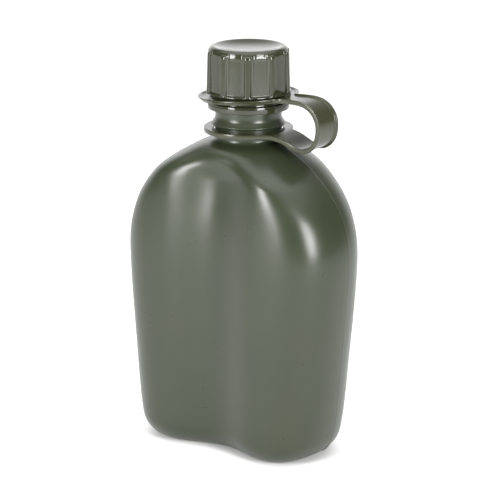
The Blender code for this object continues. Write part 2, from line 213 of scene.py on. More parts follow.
# body stations, as in the CAD
SHOULDER_TOP = 176.6
BASE_ROUND = 13.1
WALL = 1.8
WIDTH_Z = [0.0, 21.5, 53.6, 89.4, 116.2, 134.1, 150.2, 162.7, 170.0, 172.8, 174.2, 175.4, 176.6]
HALF_WIDTH = [57.0, 61.9, 65.0, 68.4, 70.0, 66.5, 57.3, 44.2, 32.4, 26.8, 22.4, 19.4, 18.6]
DEPTH_Z = [0.0, 53.6, 107.3, 139.5, 160.9, 170.0, 172.8, 174.2, 175.4, 176.6]
CONVEX = [32.9, 37.5, 39.8, 38.8, 34.2, 28.2, 24.6, 21.5, 19.2, 18.6]
LOBES = [38.3, 38.7, 38.4, 36.4, 33.2, 27.8, 24.4, 21.4, 19.2, 18.6]
HOLLOW_Z = [0.0, 14.3, 53.6, 125.2, 152.0, 164.0, 172.0, 176.6]
HOLLOW = [7.2, 6.8, 6.5, 6.5, 7.6, 5.6, 1.4, 0.0]
DROP_Z = [0.0, 107.3, 139.5, 160.9, 176.6]
END_DROP = [5.4, 5.0, 3.3, 1.6, 0.0]
PLACE_Z = [0.0, 20.0, 54.0, 107.0, 134.0, 150.0, 162.7, 176.6]
LOBE_PLACE = [0.56, 0.545, 0.505, 0.465, 0.485, 0.55, 0.63, 0.66]
# fullness of the lobe's outer flank, sideways and fore-and-aft
FLANK_Z = [0.0, 20.0, 54.0, 107.0, 134.0, 150.0, 176.6]
FLANK_X = [0.62, 0.53, 0.47, 0.43, 0.42, 0.42, 0.55]
FLANK_Y = [0.66, 0.74, 0.85, 0.93, 0.91, 0.84, 0.60]
HANDLES = (0.66, 0.59, 0.38)
OVAL_FROM, OVAL_TO = 156.0, 175.5
SEAM_Y = -0.6

NECK_R, NECK_BEAD_R = 18.6, 20.6
COLLAR_R, COLLAR_TOP = 18.5, 192.4
FINISH_R, BORE_R, RIM_Z = 15.6, 13.4, 221.0
PITCH, THREAD_Z0 = 6.35, 203.5

half_width = faired(WIDTH_Z, HALF_WIDTH)
convex = faired(DEPTH_Z, CONVEX)
lobes = faired(DEPTH_Z, LOBES)
hollow = faired(HOLLOW_Z, HOLLOW)
end_drop = faired(DROP_Z, END_DROP)
lobe_place = faired(PLACE_Z, LOBE_PLACE)
flank_x = faired(FLANK_Z, FLANK_X)
flank_y = faired(FLANK_Z, FLANK_Y)


def inset_line(line, d):
    full = np.concatenate([line[1:2] * [-1, 1], line, line[-2:-1] * [-1, 1]])
    t = full[2:] - full[:-2]
    t /= np.linalg.norm(t, axis=1)[:, None] + 1e-12
    n = np.column_stack([t[:, 1], -t[:, 0]])
    out = line + n * d
    out[0, 0] = out[-1, 0] = 0.0
    return out


def half_section(z, inset=0.0):
    a, yf, yl, c = half_width(z), convex(z), lobes(z), hollow(z)
    (hfx, hfy, hv), hbx, hby = HANDLES, flank_x(z), flank_y(z)
    ye, xl = -end_drop(z), a * lobe_place(z)
    F, E = np.array([0.0, yf]), np.array([a, ye])
    L, V = np.array([xl, -yl]), np.array([0.0, -(yl - c)])
    n = 110
    line = np.concatenate([
        bezier(F, F + [hfx * a, 0], E + [0, hfy * (yf - ye)], E, n),
        bezier(E, E - [0, hby * (ye + yl)], L + [hbx * (a - xl), 0], L, n),
        bezier(L, L - [hv * xl, 0], V + [hv * xl, 0], V, n), [V]])
    w = float(smooth01((z - OVAL_FROM) / (OVAL_TO - OVAL_FROM)))
    if w > 0:
        r = np.hypot(line[:, 0], line[:, 1])
        ca, sa = line[:, 0] / r, line[:, 1] / r
        b = np.where(sa >= 0, yf, yl)
        oval = 1 / np.sqrt((ca / a) ** 2 + (sa / b) ** 2)
        r = (1 - w) * r + w * oval
        line = np.column_stack([r * ca, r * sa])
        line[0, 0] = line[-1, 0] = 0.0
    return inset_line(line, inset) if inset else line


def half_circle(r, n=240):
    a = np.linspace(math.pi / 2, -math.pi / 2, n)
    out = np.column_stack([r * np.cos(a), r * np.sin(a)])
    out[0, 0] = out[-1, 0] = 0.0
    return out


# ==================================================== bottle, with its parting
FRONT_COLS, BACK_COLS = 46, 62
SEAM_AT = np.array([-1.5, -0.75, -0.38, -0.16, 0.0, 0.16, 0.38, 0.75, 1.5])


def sample_half(line, seam_up=0.0, seam_wide=0.45):
    """Half outline resampled with extra columns that carry the mould's parting line."""
    seg = np.linalg.norm(np.diff(line, axis=0), axis=1)
    s = np.concatenate([[0], np.cumsum(seg)])
    i = int(np.where((line[:-1, 1] >= SEAM_Y) & (line[1:, 1] < SEAM_Y))[0][0])
    f = (line[i, 1] - SEAM_Y) / (line[i, 1] - line[i + 1, 1])
    s0 = s[i] + f * seg[i]
    at = SEAM_AT * min(1.0, s[-1] / 25.0)
    u = np.concatenate([np.linspace(0, s0 + at[0], FRONT_COLS, endpoint=False), s0 + at,
                        np.linspace(s0 + at[-1], s[-1], BACK_COLS + 1)[1:]])
    p = np.column_stack([np.interp(u, s, line[:, 0]), np.interp(u, s, line[:, 1])])
    if seam_up:
        t = np.gradient(p, axis=0)
        t /= np.linalg.norm(t, axis=1)[:, None] + 1e-12
        n = np.column_stack([-t[:, 1], t[:, 0]])
        p = p + n * (seam_up * np.exp(-((u - s0) / seam_wide) ** 2))[:, None]
        p[0, 0] = p[-1, 0] = 0.0
    return p


def ring_of(line, z, seam_up=0.0, seam_wide=0.45):
    half = sample_half(line, seam_up, seam_wide)
    ring = np.concatenate([half, half[::-1][1:-1] * [-1, 1]])
    return np.column_stack([ring, np.full(len(ring), float(z))])


def ridge_profile(x, foot, crest):
    """Height share of a thread ridge at x from its middle, with rounded corners."""
    x = np.abs(x)
    return smooth01((foot / 2 - x) / ((foot - crest) / 2))


def threaded(ring, base_r, top_r, foot, crest, z0, start, turns, z):
    """Push the points of a round ring out (or in) where the helix passes."""
    a = np.arctan2(ring[:, 1], ring[:, 0])
    r = np.full(len(a), float(base_r))
    for k in range(-3, 6):
        turn = a / (2 * math.pi) + k
        grow = smooth01((turn - start) * 9) * smooth01((start + turns - turn) * 9)
        zc = z0 + PITCH * turn
        r += (top_r - base_r) * grow * ridge_profile(z - zc, foot, crest)
    return np.column_stack([r * np.cos(a), r * np.sin(a), np.full(len(a), float(z))])


def skin(name, rings, start=None, end=None, sharp=38.0):
    """Mesh through a stack of closed rings, with a pole at either end."""
    n = len(rings[0])
    verts = np.concatenate(rings)
    faces = []
    for k in range(len(rings) - 1):
        a, b = k * n, (k + 1) * n
        for i in range(n):
            j = (i + 1) % n
            faces.append((a + i, a + j, b + j, b + i))
    extra = []
    for base, pole in ((0, start), ((len(rings) - 1) * n, end)):
        if pole is not None:
            c = len(verts) + len(extra)
            extra.append(pole)
            for i in range(n):
                faces.append((base + i, base + (i + 1) % n, c))
    if extra:
        verts = np.vstack([verts, np.array(extra, float)])
    return mesh_object(name, verts, faces, sharp)


def mesh_object(name, verts, faces, sharp=38.0):
    bm = bmesh.new()
    vs = [bm.verts.new(v * MM) for v in np.asarray(verts, float)]
    for f in faces:
        try:
            bm.faces.new([vs[i] for i in f])
        except ValueError:
            pass
    bmesh.ops.recalc_face_normals(bm, faces=bm.faces)
    me = bpy.data.meshes.new(name)
    bm.to_mesh(me)
    bm.free()
    ob = bpy.data.objects.new(name, me)
    scene.collection.objects.link(ob)
    me.shade_smooth()
    me.set_sharp_from_angle(angle=math.radians(sharp))
    return ob


def arc(c, r, a0, a1, n):
    """(radius, height) points along an arc, angles in degrees."""
    return [(c[0] + r * math.cos(math.radians(a)), c[1] + r * math.sin(math.radians(a)))
            for a in np.linspace(a0, a1, n)]


def make_bottle():
    rings = []
    # base: a flat foot, a shallow push-up inside it and the pinch-off ridge across it
    foot = half_section(0.0, BASE_ROUND)
    mid = np.array([0.0, SEAM_Y])
    for s in (0.05, 0.15, 0.28, 0.42, 0.56, 0.68, 0.78, 0.86, 0.93, 1.0):
        line = mid + (foot - mid) * s
        up = 1.3 * float(smooth01((0.97 - s) / 0.3))
        ring = ring_of(line, up)
        d = np.abs(ring[:, 1] - SEAM_Y)
        ring[:, 2] -= min(up, 0.9) * np.exp(-(d / 0.8) ** 2)
        rings.append(ring)
    for a in np.linspace(0, 90, 13)[1:]:
        a = math.radians(a)
        z = BASE_ROUND * (1 - math.cos(a))
        tail = math.exp(-((math.degrees(a) - 42) / 20) ** 2)
        rings.append(ring_of(half_section(z, BASE_ROUND * (1 - math.sin(a))), z,
                             0.05 + 0.80 * tail, 0.50 + 0.30 * tail))
    for z in np.concatenate([np.arange(14.6, 140, 1.9), np.arange(140, 168, 1.1),
                             np.arange(168, SHOULDER_TOP, 0.4)]):
        crease = 0.05 + 0.15 * float(smooth01((z - 120) / 40)) * float(smooth01((176 - z) / 6))
        rings.append(ring_of(half_section(z), z, crease, 0.55))
    # neck, plain or threaded, as (radius, height)
    prof = [(NECK_R, z) for z in (176.7, 177.6, 179.0, 180.4, 181.7, 182.6)]
    prof += arc((NECK_R + 0.6, 183.1), 0.6, 180, 95, 5)
    prof += [(20.0, 183.75)] + arc((20.0, 184.35), 0.6, -88, 55, 9)
    prof += [(19.6, 185.75), (19.0, 186.7), (18.7, 187.35), (COLLAR_R, 187.9), (COLLAR_R, 189.5)]
    prof += [(COLLAR_R, 191.2)] + arc((COLLAR_R - 0.35, COLLAR_TOP - 0.35), 0.35, 0, 90, 5)
    prof += [(16.6, COLLAR_TOP)] + arc((FINISH_R + 0.5, COLLAR_TOP + 0.5), 0.5, -90, -180, 5)
    for r, z in prof:
        rings.append(ring_of(half_circle(r), z, 0.10, 0.40))
    for z in np.arange(193.6, 219.6, 0.32):
        rings.append(threaded(ring_of(half_circle(FINISH_R), z), FINISH_R, 17.2, 2.7, 1.2,
                              THREAD_Z0, 0.0, 1.65, z))
    prof = arc((FINISH_R - 0.6, RIM_Z - 0.6), 0.6, 0, 90, 6) + [(14.3, RIM_Z)]
    prof += arc((BORE_R + 0.5, RIM_Z - 0.5), 0.5, 90, 180, 5)
    prof += [(BORE_R, z) for z in (218.0, 212.0, 205.0, 198.0, 193.5)]
    prof += [(13.8, 191.5), (14.9, 189.2), (16.0, 186.8), (16.5, 184.6), (16.6, 180.0),
             (16.6, 177.5), (16.9, 175.4), (18.1, 174.0)]
    for r, z in prof:
        rings.append(ring_of(half_circle(r), z))
    for z in [171.6, 169.0, 165.0, 159.5, 152.0, 143.0, 132.0, 118.0, 98.0, 76.0,
              52.0, 30.0, 20.0]:
        slope = half_width(z + 0.5) - half_width(z - 0.5)
        rings.append(ring_of(half_section(z, WALL * math.sqrt(1 + slope * slope)), z))
    r_in = BASE_ROUND - WALL
    for a in (90, 68, 45, 22, 0):
        a = math.radians(a)
        rings.append(ring_of(half_section(BASE_ROUND - r_in * math.cos(a),
                                          WALL + r_in * (1 - math.sin(a))),
                             BASE_ROUND - r_in * math.cos(a)))
    for s in (0.85, 0.45):
        up = 1.3 * float(smooth01((0.97 - s) / 0.3))
        rings.append(ring_of(mid + (foot - mid) * s, WALL + up))
    return skin("bottle_shell", rings, start=(0, SEAM_Y, 0.4), end=(0, SEAM_Y, WALL + 1.3))


# ======================================================================= cap
CAP_RIBS, PER_RIB = 10, 40


def cap_angles():
    """Directions round the cap, closer together on the flanks of the ribs."""
    base = np.linspace(-18, 18, 2001)
    dens = 1.0 + 5.0 * np.exp(-((np.abs(base) - 4.2) / 1.0) ** 2) + 1.6 * (np.abs(base) < 4.2) \
        + 4.0 * np.exp(-((np.abs(base) - 7.6) / 0.8) ** 2)
    s = np.concatenate([[0], np.cumsum((dens[1:] + dens[:-1]) / 2)])
    s /= s[-1]
    off = np.interp(np.linspace(0, 1, PER_RIB, endpoint=False), s, base)
    out, rel = [], []
    for k in range(CAP_RIBS):
        out += list(np.radians(18 + 36 * k + off))
        rel += list(np.radians(off))
    return np.array(out), np.array(rel)


CAP_A, CAP_REL = cap_angles()


def cap_round(r, z):
    return np.column_stack([r * np.cos(CAP_A), r * np.sin(CAP_A), np.full(len(CAP_A), float(z))])


def crown_radius(z):
    """Radius of the rounded shoulder between the top of the cap and its wall."""
    return 19.2 + math.sqrt(max(0.0, 3.2 ** 2 - max(0.0, z - 224.4) ** 2))


def cap_wall(z):
    """Outside of the ribbed wall at height z."""
    f = float(np.clip((z - 203.0) / 19.6, 0, 1))
    shoulder = crown_radius(z)
    land = min(shoulder, 22.72 - 0.32 * f)
    # the panel leans back at its top and ends against the shoulder in a small edge
    panel = 22.38 - 0.36 * f - 0.066 * max(0.0, z - 222.6) ** 2
    panel = shoulder + (panel - shoulder) * float(smooth01((226.25 - z) / 0.55))
    x = np.abs(CAP_REL) * 22.6
    edge = smooth01((x - 2.75) / 0.55)
    across = np.clip((x - 2.75) / (7.10 - 2.75), 0, 1)
    flat = 0.24 * (1 - (1 - across) ** 2) * float(smooth01((225.2 - z) / 3.0))
    base = land + (panel - flat - land) * edge
    # flange below, met by a short fillet
    low = float(smooth01((z - 202.25) / 0.95))
    base = 23.75 + (base - 23.75) * low
    half = 1.95
    t = np.clip(x / half, 0, 1)
    body = (1 - t ** 2.5) ** 0.60
    toe = np.exp(-((np.clip(x - half, 0, None)) / 0.20) ** 2) * 0.06
    crown = 24.12 - 0.60 * f
    end = math.sqrt(max(0.0, 1 - float(np.clip((z - 222.7) / 2.6, 0, 1)) ** 2))
    crown = land + (crown - land) * end
    crown = max(crown, 23.75 + (24.05 - 23.75) * (1 - low)) if low < 1 else crown
    r = base + np.maximum(crown - base, 0) * np.where(x < half, body * 0.94 + 0.06, toe)
    return np.column_stack([r * np.cos(CAP_A), r * np.sin(CAP_A), np.full(len(CAP_A), float(z))])


def make_cap():
    rings = []
    for r, z in [(2.5, 225.42), (5.5, 225.50), (8.5, 225.67), (11.2, 225.96), (13.4, 226.31),
                 (15.2, 226.68), (16.6, 227.02), (17.7, 227.30), (18.5, 227.50)]:
        rings.append(cap_round(r, z))
    rings += [cap_round(r, z) for r, z in arc((19.2, 224.4), 3.2, 89, 38, 12)]
    for z in np.concatenate([np.arange(226.3, 221.6, -0.17), np.arange(221.2, 204.4, -1.1),
                             np.arange(204.0, 202.25, -0.16)]):
        rings.append(cap_wall(z))
    low = cap_wall(202.2)
    r0 = np.hypot(low[:, 0], low[:, 1])
    for a in (0, 30, 60, 90):
        k = math.radians(a)
        r = r0 - 0.4 * (1 - math.cos(k))
        rings.append(np.column_stack([r * np.cos(CAP_A), r * np.sin(CAP_A),
                                      np.full(len(r), 202.1 - 0.4 * math.sin(k))]))
    prof = [(22.6, 201.66), (21.6, 201.6)] + arc((21.0, 201.1), 0.5, 90, 180, 4)
    prof += [(20.5, 199.0)] + arc((20.9, 197.2), 0.4, 180, 270, 4)
    prof += [(21.6, 196.78)] + arc((21.85, 196.35), 0.42, 90, 5, 6)
    prof += [(22.3, 195.8)] + arc((22.55, 195.3), 0.22, 150, 30, 4)
    prof += [(22.75, 194.9), (22.75, 194.0)] + arc((22.35, 193.2), 0.4, 0, -90, 6)
    prof += [(20.5, CAP_BOTTOM)] + arc((CAP_INNER_R + 0.35, CAP_BOTTOM + 0.35), 0.35, -90, -180, 4)
    rings += [cap_round(r, z) for r, z in prof]
    for z in np.arange(193.6, 214.6, 0.36):
        a = CAP_A
        rr = np.full(len(a), CAP_INNER_R)
        for k in range(-3, 6):
            turn = a / (2 * math.pi) + k
            grow = smooth01((turn - 0.15) * 9) * smooth01((1.60 - turn) * 9)
            rr += (16.1 - CAP_INNER_R) * grow * ridge_profile(
                z - (THREAD_Z0 - PITCH / 2 + PITCH * turn), 2.6, 1.2)
        rings.append(np.column_stack([rr * np.cos(a), rr * np.sin(a), np.full(len(a), z)]))
    prof = [(CAP_INNER_R, 219.0)] + arc((CAP_INNER_R - 0.6, 222.7), 0.6, 0, 90, 5)
    prof += [(12.0, 223.3), (6.0, 223.3)]
    rings += [cap_round(r, z) for r, z in prof]
    return skin("cap_shell", rings, start=(0, 0, 225.4), end=(0, 0, 223.3), sharp=40)


CAP_INNER_R, CAP_BOTTOM = 17.7, 192.8


def make_gasket():
    n = 128
    prof = [(4.0, 221.6), (12.6, 221.6), (12.9, 221.5), (13.3, 221.32), (15.6, 221.32),
            (16.5, 221.34)] + arc((16.5, 221.64), 0.3, -90, 0, 4)
    prof += arc((16.5, 222.63), 0.3, 0, 90, 4) + [(8.0, 222.93)]
    a = np.arange(n) * 2 * math.pi / n
    rings = [np.column_stack([r * np.cos(a), r * np.sin(a), np.full(n, z)]) for r, z in prof]
    return skin("gasket_disc", rings, start=(0, 0, 221.6), end=(0, 0, 222.93))


# ===================================================================== strap
LOW_Z, HIGH_Z, TILT = 180.75, 199.6, 0.055
ROUTE = [(-32.0, LOW_Z), (0.0, LOW_Z), (14.0, LOW_Z), (21.0, LOW_Z), (24.5, 180.5), (30.0, 178.9),
         (37.0, 175.9), (41.8, 174.9), (47.0, 176.0), (51.4, 180.0), (53.4, 186.0),
         (52.8, 192.5), (49.5, 197.6), (44.2, 200.6), (38.0, 201.45), (31.0, 201.25),
         (26.0, HIGH_Z + 26.0 * TILT), (21.0, HIGH_Z + 21.0 * TILT), (0.0, HIGH_Z),
         (-32.0, HIGH_Z - 32.0 * TILT)]
STRAP_HALF, EDGE, WEB = 9.2, 2.6, 1.6
LOW_RING, HIGH_RING = (19.2, 24.9), (21.2, 28.2)


def route_line():
    p = np.array(ROUTE, float)
    p = np.vstack([2 * p[0] - p[1], p, 2 * p[-1] - p[-2]])
    out = []
    for i in range(1, len(p) - 2):
        a, b, c, d = p[i - 1:i + 3]
        t0 = 0.0
        t1 = t0 + np.linalg.norm(b - a) ** 0.5
        t2 = t1 + np.linalg.norm(c - b) ** 0.5
        t3 = t2 + np.linalg.norm(d - c) ** 0.5
        for t in np.linspace(t1, t2, max(2, int(np.linalg.norm(c - b) / 0.1)), endpoint=False):
            A1 = (t1 - t) / (t1 - t0) * a + (t - t0) / (t1 - t0) * b
            A2 = (t2 - t) / (t2 - t1) * b + (t - t1) / (t2 - t1) * c
            A3 = (t3 - t) / (t3 - t2) * c + (t - t2) / (t3 - t2) * d
            B1 = (t2 - t) / (t2 - t0) * A1 + (t - t0) / (t2 - t0) * A2
            B2 = (t3 - t) / (t3 - t1) * A2 + (t - t1) / (t3 - t1) * A3
            out.append((t2 - t) / (t2 - t1) * B1 + (t - t1) / (t2 - t1) * B2)
    out.append(p[-2])
    out = np.array(out)
    # fair the line, then measure it
    for _ in range(3):
        k = np.ones(15) / 15
        inner = np.column_stack([np.convolve(out[:, i], k, 'valid') for i in (0, 1)])
        out = np.vstack([out[:7], inner, out[-7:]])
    q = np.concatenate([[0], np.cumsum(np.linalg.norm(np.diff(out, axis=0), axis=1))])
    return out, q


LINE, LINE_Q = route_line()
_i0 = int(np.argmax(LINE[:, 0] >= 0))
Q_LOW = float(np.interp(0.0, LINE[:_i0 + 2, 0], LINE_Q[:_i0 + 2]))
_top = int(np.argmax(LINE[:, 0]))
Q_HIGH = float(np.interp(0.0, LINE[_top:, 0][::-1], LINE_Q[_top:][::-1]))
LENGTH = Q_HIGH - Q_LOW                      # from one ring's centre to the other's


def on_route(s):
    """Point and outward direction in the XZ plane at distance s from the lower ring's centre."""
    q = np.asarray(s, float) + Q_LOW
    x, z = np.interp(q, LINE_Q, LINE[:, 0]), np.interp(q, LINE_Q, LINE[:, 1])
    e = 0.4
    dx = np.interp(q + e, LINE_Q, LINE[:, 0]) - np.interp(q - e, LINE_Q, LINE[:, 0])
    dz = np.interp(q + e, LINE_Q, LINE[:, 1]) - np.interp(q - e, LINE_Q, LINE[:, 1])
    d = np.hypot(dx, dz)
    return x, z, dz / d, -dx / d


def smax(a, b, k):
    h = np.clip(0.5 + 0.5 * (a - b) / k, 0, 1)
    return b + (a - b) * h + k * h * (1 - h)


def inside(p):
    """Distance inside the strap's flat outline (rings and band joined with fillets)."""
    x, y = p[:, 0], p[:, 1]
    low = LOW_RING[1] - np.hypot(x, y)
    high = HIGH_RING[1] - np.hypot(x - LENGTH, y)
    near = STRAP_HALF + 9.5 * np.clip((39.0 - x) / 24.0, 0, 1) ** 2.1 \
        + 1.5 * np.clip((x - (LENGTH - 34.0)) / 12.0, 0, 1) ** 2
    far = STRAP_HALF + 0.6 * np.clip((x - (LENGTH - 34.0)) / 12.0, 0, 1) ** 2
    side = np.where(y < 0, near + y, far - y)
    ends = np.minimum(x - 6.0, LENGTH - 6.0 - x)
    band = np.minimum(side, ends)
    k = np.where(y < 0, 2.6, 0.9)
    return smax(smax(band, low, k), high, np.where(y < 0, 2.2, 1.6))


def slope_of(f, p, e=0.02):
    g = np.column_stack([f(p + [e, 0]) - f(p - [e, 0]), f(p + [0, e]) - f(p - [0, e])]) / (2 * e)
    return g / (np.linalg.norm(g, axis=1)[:, None] + 1e-9)


def outline(level, start):
    p = start.copy()
    for _ in range(14):
        d = inside(p) - level
        p = p - slope_of(inside, p) * d[:, None] * 0.8
    return p


def make_strap():
    step = 0.62
    # first guess of the outline, anticlockwise from the lower ring's far left
    a0 = math.atan2(-14.0, 20.6)
    low_r, high_r = LOW_RING[1], HIGH_RING[1]
    pts = []
    n = int((math.pi + a0) * low_r / step)
    for a in np.linspace(-math.pi, a0, n, endpoint=False):
        pts.append((low_r * math.cos(a), low_r * math.sin(a)))
    xa, xb = 20.6, LENGTH - 25.6
    n = int((xb - xa) / step)
    for x in np.linspace(xa, xb, n, endpoint=False):
        f = STRAP_HALF + 5.5 * np.clip((39.0 - x) / 18.4, 0, 1) ** 2 \
            + 2.5 * np.clip((x - xb + 8) / 8, 0, 1) ** 2
        pts.append((x, -f))
    b0 = math.atan2(-11.0, -25.6)
    n = int((2 * math.pi - 2 * (math.pi + b0)) * high_r / step)
    for a in np.linspace(b0, math.pi - (math.pi + b0) , n, endpoint=False):
        pts.append((LENGTH + high_r * math.cos(a), high_r * math.sin(a)))
    xb2, xa2 = LENGTH - 26.6, 23.4
    n = int((xb2 - xa2) / step)
    for x in np.linspace(xb2, xa2, n, endpoint=False):
        pts.append((x, STRAP_HALF))
    a1 = math.atan2(8.5, 23.4)
    n = int((math.pi - a1) * low_r / step)
    for a in np.linspace(a1, math.pi, n, endpoint=False):
        pts.append((low_r * math.cos(a), low_r * math.sin(a)))
    guess = np.array(pts)
    edge = outline(0.0, guess)
    # even spacing along the true outline
    loop = np.vstack([edge, edge[:1]])
    L = np.concatenate([[0], np.cumsum(np.linalg.norm(np.diff(loop, axis=0), axis=1))])
    m = int(L[-1] / step)
    u = np.linspace(0, L[-1], m, endpoint=False)
    edge = outline(0.0, np.column_stack([np.interp(u, L, loop[:, 0]), np.interp(u, L, loop[:, 1])]))

    levels = [0.0, 0.10, 0.30, 0.62, 0.98, 1.32, 1.56, 1.78, 2.05, 2.4]
    contours = [edge]
    for a, b in zip(levels[:-1], levels[1:]):
        contours.append(outline(b, contours[-1] + slope_of(inside, contours[-1]) * (b - a)))
    # holes, with their rounded lips
    lips = [0.0, 0.12, 0.34, 0.7]
    holes = []
    for (r, _), cx in ((LOW_RING, 0.0), (HIGH_RING, LENGTH)):
        n = int(2 * math.pi * r / step)
        a = np.arange(n) * 2 * math.pi / n
        holes.append([np.column_stack([cx + (r + l) * np.cos(a), (r + l) * np.sin(a)]) for l in lips])
    # inner field between the last contour and the lips
    gx, gy = np.meshgrid(np.arange(-25, LENGTH + 29, 0.8), np.arange(-28, 28.1, 0.8))
    grid = np.column_stack([gx.ravel(), gy.ravel()])
    keep = (inside(grid) > levels[-1] + 0.35)
    keep &= np.hypot(grid[:, 0], grid[:, 1]) > LOW_RING[0] + lips[-1] + 0.35
    keep &= np.hypot(grid[:, 0] - LENGTH, grid[:, 1]) > HIGH_RING[0] + lips[-1] + 0.35
    grid = grid[keep]
    flat = [contours[-1], holes[0][-1], holes[1][-1], grid]
    offs = np.cumsum([0] + [len(f) for f in flat])
    allp = np.concatenate(flat)
    edges = []
    for k in range(3):
        n = len(flat[k])
        edges += [(offs[k] + i, offs[k] + (i + 1) % n) for i in range(n)]
    vo, _, fo, ov, _, _ = delaunay_2d_cdt([Vector(p) for p in allp], [tuple(map(int, e)) for e in edges],
                                          [], 0, 1e-5)
    src = [o[0] if o else None for o in ov]
    vo = np.array([[v.x, v.y] for v in vo])
    tris = []
    for f in fo:
        c = vo[list(f)].mean(0)[None]
        if inside(c)[0] > levels[-1] - 0.02 and \
           np.hypot(*c[0]) > LOW_RING[0] + lips[-1] - 0.02 and \
           np.hypot(c[0, 0] - LENGTH, c[0, 1]) > HIGH_RING[0] + lips[-1] - 0.02:
            tris.append([src[i] for i in f])

    def rim_height(p):
        """Extra height of the rim round the cap's ring over that of the band."""
        r = np.hypot(p[:, 0] - LENGTH, p[:, 1])
        w = smooth01((p[:, 0] - (LENGTH - 31.0)) / 6.0) * smooth01((r - 23.5) / 2.0)
        return -0.15 * w

    def cone(p):
        """How far the underside of the cap's ring is drawn in."""
        r = np.hypot(p[:, 0] - LENGTH, p[:, 1])
        return 1.5 * smooth01((p[:, 0] - (LENGTH - 30.0)) / 8.0) * smooth01((r - 24.0) / 4.0)

    RIM_UP = EDGE - WEB
    up_level = [-0.45, -0.12, 0.0, 0.0, 0.0, -0.05, -0.30, -0.72, -0.96, -1.0]
    down_level = [0.45, 0.12, 0.0, 0.0, 0.0, 0.0, 0.0, 0.0, 0.0, 0.0]

    def place(p, h, draw=None):
        q = p.copy()
        if draw is not None:
            v = q - [LENGTH, 0]
            r = np.linalg.norm(v, axis=1)
            q = q - v / (r[:, None] + 1e-9) * draw[:, None]
        x, z, nx, nz = on_route(q[:, 0])
        return np.column_stack([x + nx * h, q[:, 1], z + nz * h])

    verts, index = [], {}

    def put(key, pts3):
        index[key] = len(verts)
        verts.extend(pts3)

    half = EDGE / 2
    for k, (c, up, dn) in enumerate(zip(contours, up_level, down_level)):
        extra = rim_height(c)
        top = half + (up if up > -0.5 else 0) + (up * RIM_UP if up <= -0.5 else 0)
        share = 1 + (up if up > -1 and up <= -0.25 else (0 if up > -0.25 else -1))
        share = {0: 1, 1: 1, 2: 1, 3: 1, 4: 1, 5: 0.97, 6: 0.72, 7: 0.26, 8: 0.03, 9: 0}[k]
        put(("up", k), place(c, top + extra * share))
        put(("dn", k), place(c, np.full(len(c), -half + dn), cone(c)))
    for j in (0, 1):
        for k, p in enumerate(holes[j]):
            lift = [0.42, 0.14, 0.02, 0.0][k]
            put(("hu", j, k), place(p, np.full(len(p), -half + WEB - lift)))
            put(("hd", j, k), place(p, np.full(len(p), -half + lift)))
    put(("gu",), place(grid, np.full(len(grid), -half + WEB)))
    put(("gd",), place(grid, np.full(len(grid), -half)))

    faces = []

    def band(a, b, n):
        for i in range(n):
            j = (i + 1) % n
            faces.append((a + i, a + j, b + j, b + i))
    n = len(edge)
    for k in range(len(levels) - 1):
        band(index[("up", k)], index[("up", k + 1)], n)
        band(index[("dn", k + 1)], index[("dn", k)], n)
    band(index[("dn", 0)], index[("up", 0)], n)
    for j in (0, 1):
        n = len(holes[j][0])
        for k in range(len(lips) - 1):
            band(index[("hu", j, k)], index[("hu", j, k + 1)], n)
            band(index[("hd", j, k + 1)], index[("hd", j, k)], n)
        band(index[("hd", j, 0)], index[("hu", j, 0)], n)
    last, lip = len(levels) - 1, len(lips) - 1
    starts_u = [index[("up", last)], index[("hu", 0, lip)], index[("hu", 1, lip)], index[("gu",)]]
    starts_d = [index[("dn", last)], index[("hd", 0, lip)], index[("hd", 1, lip)], index[("gd",)]]

    def where(i, starts):
        k = int(np.searchsorted(offs, i, side='right') - 1)
        return starts[k] + i - int(offs[k])
    for t in tris:
        faces.append(tuple(where(i, starts_u) for i in t))
        faces.append(tuple(where(i, starts_d) for i in t[::-1]))
    whole = mesh_object("strap_whole", np.array(verts), faces, 42)

    # two pieces that meet in the middle of the bend, where the strap moves as one
    cut_z = 188.0
    out = []
    for name, sign in (("strap_lower", 1), ("strap_upper", -1)):
        bm = bmesh.new()
        bm.from_mesh(whole.data)
        res = bmesh.ops.bisect_plane(bm, geom=bm.verts[:] + bm.edges[:] + bm.faces[:], dist=1e-7,
                                     plane_co=(0, 0, cut_z * MM), plane_no=(0, 0, sign),
                                     clear_outer=True)
        rim = [e for e in bm.edges if e.is_boundary]
        bmesh.ops.holes_fill(bm, edges=rim, sides=0)
        bmesh.ops.recalc_face_normals(bm, faces=bm.faces)
        me = bpy.data.meshes.new(name)
        bm.to_mesh(me)
        bm.free()
        ob = bpy.data.objects.new(name, me)
        scene.collection.objects.link(ob)
        me.shade_smooth()
        me.set_sharp_from_angle(angle=math.radians(42))
        out.append(ob)
    bpy.data.objects.remove(whole, do_unlink=True)
    return out


